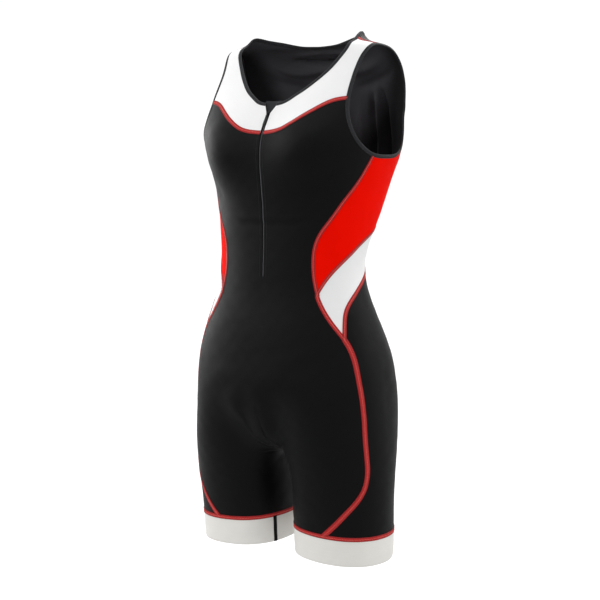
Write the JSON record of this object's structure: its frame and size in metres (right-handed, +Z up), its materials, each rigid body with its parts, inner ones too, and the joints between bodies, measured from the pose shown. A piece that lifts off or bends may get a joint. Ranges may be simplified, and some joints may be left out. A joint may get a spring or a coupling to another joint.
{
  "type": "triathlon suit",
  "caption": "Sleeveless women's triathlon suit filled out as worn: black body, white shoulder yokes and leg bands, red sides, front zip with pull tab, open neck, armholes and legs.",
  "frame": {"origin": "midway between the tops of the two shoulder straps, where the wearer's shoulders hold the suit up", "axes": "+Z up, the front of the suit faces -Y, +X to the wearer's left"},
  "size_m": [0.3502, 0.2464, 0.8281],
  "materials": {
    "black_lycra": "smooth matte stretch knit, near black",
    "white_lycra": "smooth matte stretch knit, white",
    "red_lycra": "smooth stretch knit, bright red, slight sheen",
    "hem_grip": "matte elastic band, warm white",
    "dark_binding": "folded elastic binding, dark grey",
    "zip_tape": "woven tape, black",
    "zip_plastic": "moulded black, satin"
  },
  "bodies": {
    "suit": {"armhole_binding_left": "dark_binding", "armhole_binding_right": "dark_binding", "back_seat_left": "black_lycra", "back_seat_right": "black_lycra", "back_thigh_left": "black_lycra", "back_thigh_right": "black_lycra", "back_upper_left": "black_lycra", "back_upper_right": "black_lycra", "front_panel": "black_lycra", "front_thigh_left": "black_lycra", "front_thigh_right": "black_lycra", "hem_band_left": "hem_grip", "hem_band_right": "hem_grip", "inseam_tape_left": "black_lycra", "inseam_tape_right": "black_lycra", "neck_binding": "dark_binding", "side_red_left": "red_lycra", "side_red_right": "red_lycra", "side_white_left": "white_lycra", "side_white_right": "white_lycra", "yoke_left": "white_lycra", "yoke_right": "white_lycra", "zip_chain": "zip_tape", "zip_guard": "zip_tape", "zip_slider": "zip_plastic", "zip_tape_left": "zip_tape", "zip_tape_right": "zip_tape"},
    "pull": {"zip_pull": "zip_plastic"}
  },
  "joints": [
    {"name": "pull_swing", "type": "hinge", "parent": "suit", "child": "pull", "pos_m": [0, -0.08897, -0.12117], "axis": [-1, 0, 0], "range_deg": [0, 150]}
  ]
}
